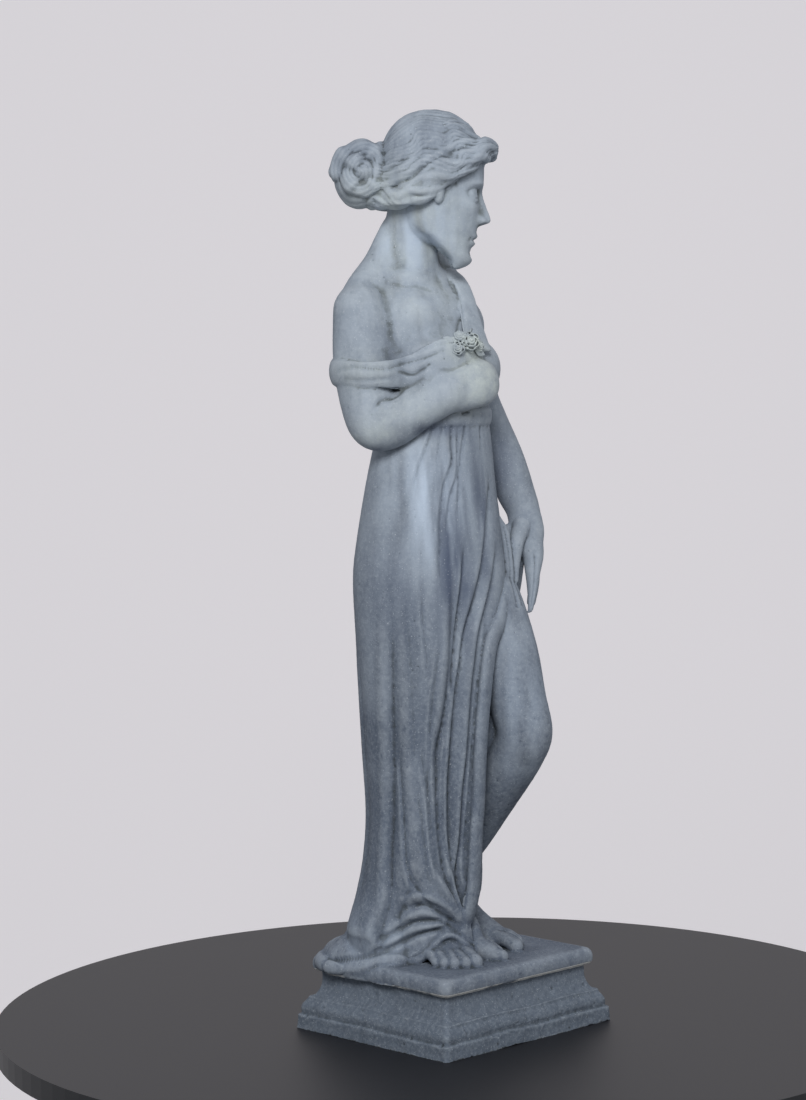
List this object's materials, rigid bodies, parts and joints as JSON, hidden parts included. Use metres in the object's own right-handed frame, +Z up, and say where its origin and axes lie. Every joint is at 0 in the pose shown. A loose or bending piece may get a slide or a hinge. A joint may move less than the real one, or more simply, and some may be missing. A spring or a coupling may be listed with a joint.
{
  "type": "garden statue",
  "caption": "Cast-stone garden statue of a standing woman in a long draped dress, on its own slab and a square moulded plinth.",
  "frame": {"origin": "middle of the plinth's underside", "axes": "+Z up, the woman faces -Y and her left side is +X"},
  "size_m": [0.2158, 0.193, 0.8197],
  "materials": {
    "figure_stone": "matt, weathered",
    "plinth_stone": "matt, weathered"
  },
  "bodies": {
    "root": {"figure": "figure_stone", "plinth": "plinth_stone"}
  },
  "joints": []
}
